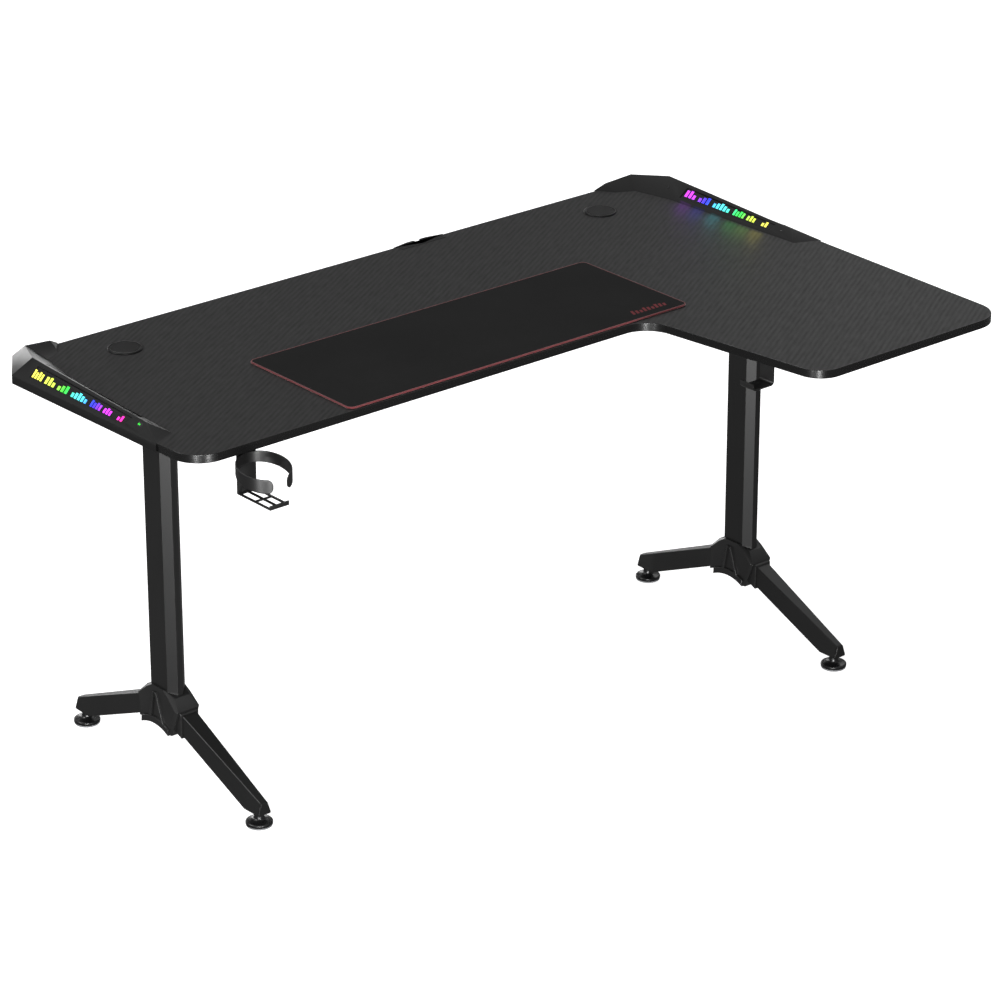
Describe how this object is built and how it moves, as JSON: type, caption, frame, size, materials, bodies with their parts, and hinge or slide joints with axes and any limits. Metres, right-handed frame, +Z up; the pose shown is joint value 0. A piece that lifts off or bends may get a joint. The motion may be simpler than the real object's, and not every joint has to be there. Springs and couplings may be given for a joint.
{
  "type": "corner desk",
  "caption": "L-shaped gaming desk: corner worktop on column legs with splayed arms, light panels on the rear corners, cable grommets, cup holder, headset hook and mouse pad.",
  "frame": {"origin": "on the floor under the middle of the bounding box", "axes": "+X along the rear edge to the return wing, +Y to the rear, +Z up"},
  "size_m": [1.6028, 1.008, 0.784],
  "materials": {
    "laminate": "carbon-fibre twill laminate on particle board, satin",
    "edging": "satin-gloss black edge band",
    "powder_coat": "fine-textured black powder coat",
    "cast_hub": "satin black painted casting",
    "moulded_plastic": "fine-grained black ABS",
    "gloss_plastic": "black button with a lit green mark",
    "smoked_lens": "smoked acrylic with lit coloured marks",
    "circuit_board": "green solder mask",
    "foot_rubber": "black moulded foot with a pale glide ring",
    "zinc": "zinc-plated steel",
    "mat_fabric": "black knitted cloth on foam rubber, dark red stitched edge"
  },
  "bodies": {
    "frame": {"desktop_panel": "laminate", "edge_band": "edging", "grommet_ring_left": "moulded_plastic", "grommet_ring_right": "moulded_plastic", "cable_guide": "moulded_plastic", "light_housing_left": "moulded_plastic", "light_base_left": "moulded_plastic", "light_lens_outer_left": "smoked_lens", "light_lens_inner_left": "smoked_lens", "led_board_left": "circuit_board", "light_inlet_left": "moulded_plastic", "light_housing_right": "moulded_plastic", "light_base_right": "moulded_plastic", "light_lens_outer_right": "smoked_lens", "light_lens_inner_right": "smoked_lens", "led_board_right": "circuit_board", "light_inlet_right": "moulded_plastic", "rail_rear": "powder_coat", "rail_front": "powder_coat", "cup_bracket": "powder_coat", "cup_ring": "powder_coat", "headset_hook": "powder_coat", "cup_screw_rear": "zinc", "cup_screw_front": "zinc", "hook_screw_front": "zinc", "hook_screw_rear": "zinc", "column_left": "powder_coat", "column_plate_left": "powder_coat", "cross_beam_left": "powder_coat", "hub_left": "cast_hub", "arm_front_left": "powder_coat", "arm_cap_front_left": "moulded_plastic", "foot_insert_front_left": "zinc", "arm_rear_left": "powder_coat", "arm_cap_rear_left": "moulded_plastic", "foot_insert_rear_left": "zinc", "column_right": "powder_coat", "column_plate_right": "powder_coat", "cross_beam_right": "powder_coat", "hub_right": "cast_hub", "arm_front_right": "powder_coat", "arm_cap_front_right": "moulded_plastic", "foot_insert_front_right": "zinc", "arm_rear_right": "powder_coat", "arm_cap_rear_right": "moulded_plastic", "foot_insert_rear_right": "zinc"},
    "foot_front_left": {"foot_stud_front_left": "zinc", "foot_pad_front_left": "foot_rubber"},
    "foot_rear_left": {"foot_stud_rear_left": "zinc", "foot_pad_rear_left": "foot_rubber"},
    "foot_front_right": {"foot_stud_front_right": "zinc", "foot_pad_front_right": "foot_rubber"},
    "foot_rear_right": {"foot_stud_rear_right": "zinc", "foot_pad_rear_right": "foot_rubber"},
    "grommet_cap_left": {"grommet_cap_left": "moulded_plastic"},
    "grommet_cap_right": {"grommet_cap_right": "moulded_plastic"},
    "mode_button": {"mode_button": "gloss_plastic"},
    "mouse_pad": {"mouse_pad": "mat_fabric"}
  },
  "joints": [
    {"name": "foot_front_left_height", "type": "slide", "parent": "frame", "child": "foot_front_left", "axis": [0, 0, -1], "range_m": [0, 0.012]},
    {"name": "foot_rear_left_height", "type": "slide", "parent": "frame", "child": "foot_rear_left", "axis": [0, 0, -1], "range_m": [0, 0.012]},
    {"name": "foot_front_right_height", "type": "slide", "parent": "frame", "child": "foot_front_right", "axis": [0, 0, -1], "range_m": [0, 0.012]},
    {"name": "foot_rear_right_height", "type": "slide", "parent": "frame", "child": "foot_rear_right", "axis": [0, 0, -1], "range_m": [0, 0.012]},
    {"name": "grommet_cap_left_lift", "type": "slide", "parent": "frame", "child": "grommet_cap_left", "axis": [0, 0, 1], "range_m": [0, 0.04]},
    {"name": "grommet_cap_right_lift", "type": "slide", "parent": "frame", "child": "grommet_cap_right", "axis": [0, 0, 1], "range_m": [0, 0.04]},
    {"name": "mode_button_press", "type": "slide", "parent": "frame", "child": "mode_button", "axis": [0.4563, 0.0301, -0.8893], "range_m": [0, 0.0006], "stiffness_N_per_m": 1200},
    {"name": "mouse_pad_lift", "type": "slide", "parent": "frame", "child": "mouse_pad", "axis": [0, 0, 1], "range_m": [0, 0.12]}
  ]
}
